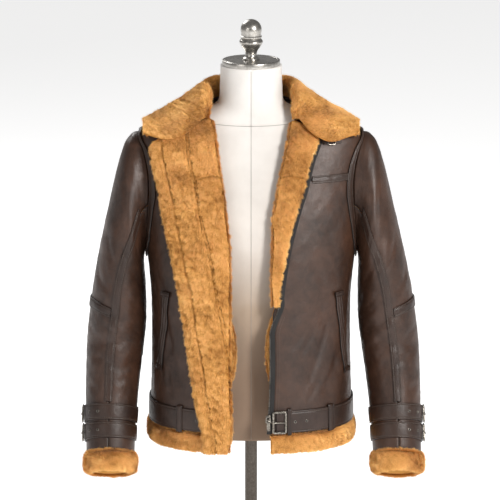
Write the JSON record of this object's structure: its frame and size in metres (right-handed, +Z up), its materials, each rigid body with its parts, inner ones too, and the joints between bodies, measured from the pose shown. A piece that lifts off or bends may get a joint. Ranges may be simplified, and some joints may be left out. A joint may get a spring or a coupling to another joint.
{
  "type": "shearling coat on a dress form",
  "caption": "Brown leather coat lined with ginger shearling, worn open on a limbless dress form with a metal neck cap and a pole on a round base.",
  "frame": {"origin": "middle of the base plate's underside, on the surface it stands on", "axes": "+Z up along the pole, the coat's front faces -Y, +X is the wearer's left"},
  "size_m": [0.6222, 0.312, 1.0505],
  "materials": {
    "leather": "soft semi-matt dark brown leather",
    "trim_leather": "semi-matt dark brown leather, edges stitched",
    "fur": "dense short ginger sheep's wool, lighter at the tips",
    "canvas": "smooth matt off-white cotton",
    "nickel": "brushed nickel",
    "bronze": "satin dark bronze",
    "dark_metal": "antique dark nickel, bright on its edges",
    "zip_tape": "matt black woven tape"
  },
  "bodies": {
    "coat_and_form": {"back_panel": "leather", "collar_leather": "leather", "front_left": "leather", "front_right": "leather", "front_yoke_left": "leather", "front_yoke_right": "leather", "sleeve_top_left": "leather", "sleeve_top_right": "leather", "sleeve_under_left": "leather", "sleeve_under_right": "leather", "yoke_strip_left": "trim_leather", "yoke_strip_right": "trim_leather", "pocket_welt_left": "trim_leather", "pocket_welt_right": "trim_leather", "belt_left": "trim_leather", "belt_right": "trim_leather", "belt_back": "trim_leather", "belt_loop_left": "trim_leather", "belt_loop_right": "trim_leather", "belt_loop_back_left": "trim_leather", "belt_loop_back_right": "trim_leather", "belt_keeper": "trim_leather", "sleeve_strip_left": "trim_leather", "sleeve_strip_right": "trim_leather", "elbow_band_left": "trim_leather", "elbow_band_right": "trim_leather", "cuff_strap_upper_left": "trim_leather", "cuff_strap_upper_right": "trim_leather", "cuff_strap_lower_left": "trim_leather", "cuff_strap_lower_right": "trim_leather", "armhole_strip_left": "trim_leather", "armhole_strip_right": "trim_leather", "collar_strap": "trim_leather", "lapel_right": "fur", "lapel_left": "fur", "pocket_bag_left": "fur", "pocket_bag_right": "fur", "hem_fur_left": "fur", "hem_fur_back": "fur", "hem_fur_right": "fur", "cuff_fur_left": "fur", "cuff_fur_right": "fur", "collar_fur": "fur", "form_torso": "canvas", "neck_cap": "nickel", "finial": "nickel", "pole": "bronze", "base_plate": "bronze", "belt_buckle": "dark_metal", "cuff_buckle_upper_left": "dark_metal", "cuff_buckle_upper_right": "dark_metal", "cuff_buckle_lower_left": "dark_metal", "cuff_buckle_lower_right": "dark_metal", "collar_buckle": "dark_metal", "zip_slider": "dark_metal", "zip_tape_left": "zip_tape", "zip_tape_right": "zip_tape"},
    "zip_pull": {"zip_pull": "dark_metal"}
  },
  "joints": [
    {"name": "zip_pull_swing", "type": "hinge", "parent": "coat_and_form", "child": "zip_pull", "pos_m": [0.03082, -0.15766, 0.35222], "axis": [-0.9969, -0.0784, 0], "range_deg": [0, 150]}
  ]
}
